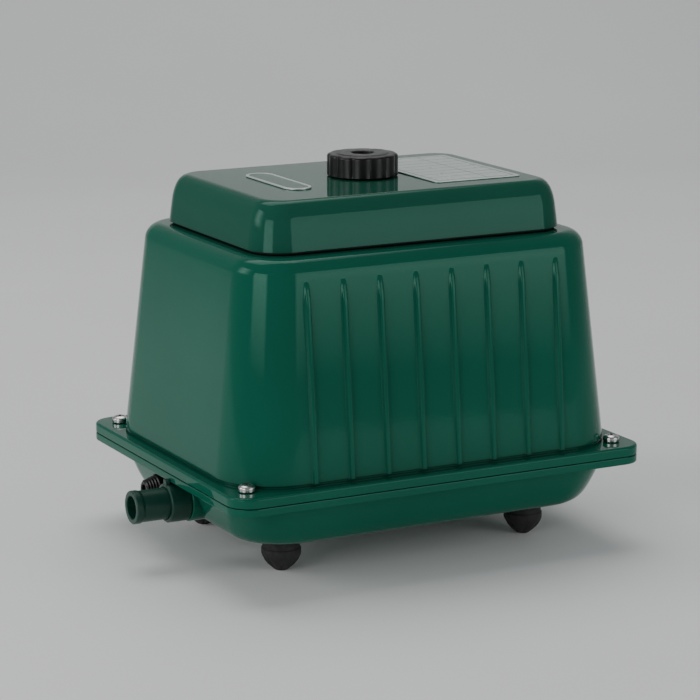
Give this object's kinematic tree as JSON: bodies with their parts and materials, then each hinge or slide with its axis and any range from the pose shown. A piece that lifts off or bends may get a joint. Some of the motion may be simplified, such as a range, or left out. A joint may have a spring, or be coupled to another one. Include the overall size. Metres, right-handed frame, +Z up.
{
  "type": "pond air pump",
  "caption": "Box-shaped green cast air pump with ribbed sides, knob-held filter cover, side hose outlet and rubber feet, driving two diaphragms by a magnet shuttle.",
  "frame": {"origin": "middle of the overall box's footprint, at the tips of the rubber feet", "axes": "+Z up; +X along the long side, away from the hose outlet, which points to -X; the ribbed long sides face -Y and +Y"},
  "size_m": [0.316, 0.23, 0.249],
  "materials": {
    "case_paint": "gloss green paint on die-cast aluminium",
    "cover_paint": "gloss dark green paint on die-cast aluminium",
    "black_plastic": "moulded black plastic, fine texture",
    "pipe_plastic": "dark green hose tail, satin",
    "rubber": "black rubber, matt",
    "stainless_steel": "stainless, turned",
    "brass": "turned",
    "aluminium": "cast and pressed, satin",
    "core_steel": "laminated electrical steel",
    "coil_winding": "enamelled wire under tape",
    "magnet": "ferrite, matt",
    "filter_foam": "open-cell foam",
    "terminal_plastic": "moulded",
    "badge_foil": "printed foil, blank",
    "rating_foil": "silver foil, blank"
  },
  "bodies": {
    "housing": {"air_hose_left": "rubber", "air_hose_right": "rubber", "base_tank": "case_paint", "cable_conduit": "black_plastic", "cable_gland": "black_plastic", "coil_front": "coil_winding", "coil_rear": "coil_winding", "cover_seal": "rubber", "cover_stud": "stainless_steel", "diaphragm_left": "rubber", "diaphragm_right": "rubber", "drive_frame": "aluminium", "filter_tray": "black_plastic", "foot_stud_front_left": "stainless_steel", "foot_stud_front_right": "stainless_steel", "foot_stud_rear_left": "stainless_steel", "foot_stud_rear_right": "stainless_steel", "head_cover_left": "black_plastic", "head_cover_right": "black_plastic", "outlet_collar": "pipe_plastic", "outlet_pipe": "pipe_plastic", "rim_screw_front_left": "stainless_steel", "rim_screw_front_right": "stainless_steel", "rim_screw_rear_left": "stainless_steel", "rim_screw_rear_right": "stainless_steel", "rubber_foot_front_left": "rubber", "rubber_foot_front_right": "rubber", "rubber_foot_rear_left": "rubber", "rubber_foot_rear_right": "rubber", "stator_core_front": "core_steel", "stator_core_rear": "core_steel", "stud_nut": "stainless_steel", "tank_cover": "aluminium", "tank_gasket": "rubber", "terminal_block": "terminal_plastic", "upper_housing": "case_paint", "valve_head_left": "black_plastic", "valve_head_right": "black_plastic", "vibration_damper_front_left": "rubber", "vibration_damper_front_right": "rubber", "vibration_damper_rear_left": "rubber", "vibration_damper_rear_right": "rubber"},
    "cover": {"filter_cover": "cover_paint", "badge": "badge_foil", "rating_plate": "rating_foil"},
    "filter": {"filter_element": "filter_foam"},
    "knob_carrier": {"knob_washer": "stainless_steel"},
    "knob": {"cover_knob": "black_plastic", "knob_insert": "brass"},
    "drive_shuttle": {"shuttle": "aluminium", "magnet_front": "magnet", "magnet_rear": "magnet", "inner_disc_left": "aluminium", "inner_disc_right": "aluminium", "outer_disc_left": "aluminium", "outer_disc_right": "aluminium"},
    "intake_valve_left": {"intake_flap_left": "rubber"},
    "exhaust_valve_left": {"exhaust_flap_left": "rubber"},
    "intake_valve_right": {"intake_flap_right": "rubber"},
    "exhaust_valve_right": {"exhaust_flap_right": "rubber"}
  },
  "joints": [
    {"name": "cover_lift", "type": "slide", "parent": "housing", "child": "cover", "axis": [0, 0, 1], "range_m": [0, 0.1]},
    {"name": "filter_lift", "type": "slide", "parent": "housing", "child": "filter", "axis": [0, 0, 1], "range_m": [0, 0.05]},
    {"name": "knob_rise", "type": "slide", "parent": "cover", "child": "knob_carrier", "axis": [0, 0, 1], "range_m": [0, 0.0076]},
    {"name": "knob_turn", "type": "hinge", "parent": "knob_carrier", "child": "knob", "pos_m": [0.013, 0, 0.243], "axis": [0, 0, 1], "range_deg": [0, 2160]},
    {"name": "shuttle_stroke", "type": "slide", "parent": "housing", "child": "drive_shuttle", "axis": [1, 0, 0], "range_m": [-0.0025, 0.0025], "stiffness_N_per_m": 8000, "deforming": ["diaphragm_left", "diaphragm_right"]},
    {"name": "intake_flap_left_open", "type": "hinge", "parent": "housing", "child": "intake_valve_left", "pos_m": [-0.05895, 0, 0.1616], "axis": [0, -1, 0], "range_deg": [0, 12], "stiffness_Nm_per_rad": 0.002},
    {"name": "exhaust_flap_left_open", "type": "hinge", "parent": "housing", "child": "exhaust_valve_left", "pos_m": [-0.07105, 0, 0.1076], "axis": [0, 1, 0], "range_deg": [0, 12], "stiffness_Nm_per_rad": 0.002},
    {"name": "intake_flap_right_open", "type": "hinge", "parent": "housing", "child": "intake_valve_right", "pos_m": [0.08495, 0, 0.1616], "axis": [0, 1, 0], "range_deg": [0, 12], "stiffness_Nm_per_rad": 0.002},
    {"name": "exhaust_flap_right_open", "type": "hinge", "parent": "housing", "child": "exhaust_valve_right", "pos_m": [0.09705, 0, 0.1076], "axis": [0, -1, 0], "range_deg": [0, 12], "stiffness_Nm_per_rad": 0.002}
  ],
  "couplings": [
    {"joint": "filter_lift", "follows": "cover_lift", "ratio": 0.5},
    {"joint": "knob_rise", "follows": "knob_turn", "m_per_rad": 0.00019894}
  ]
}
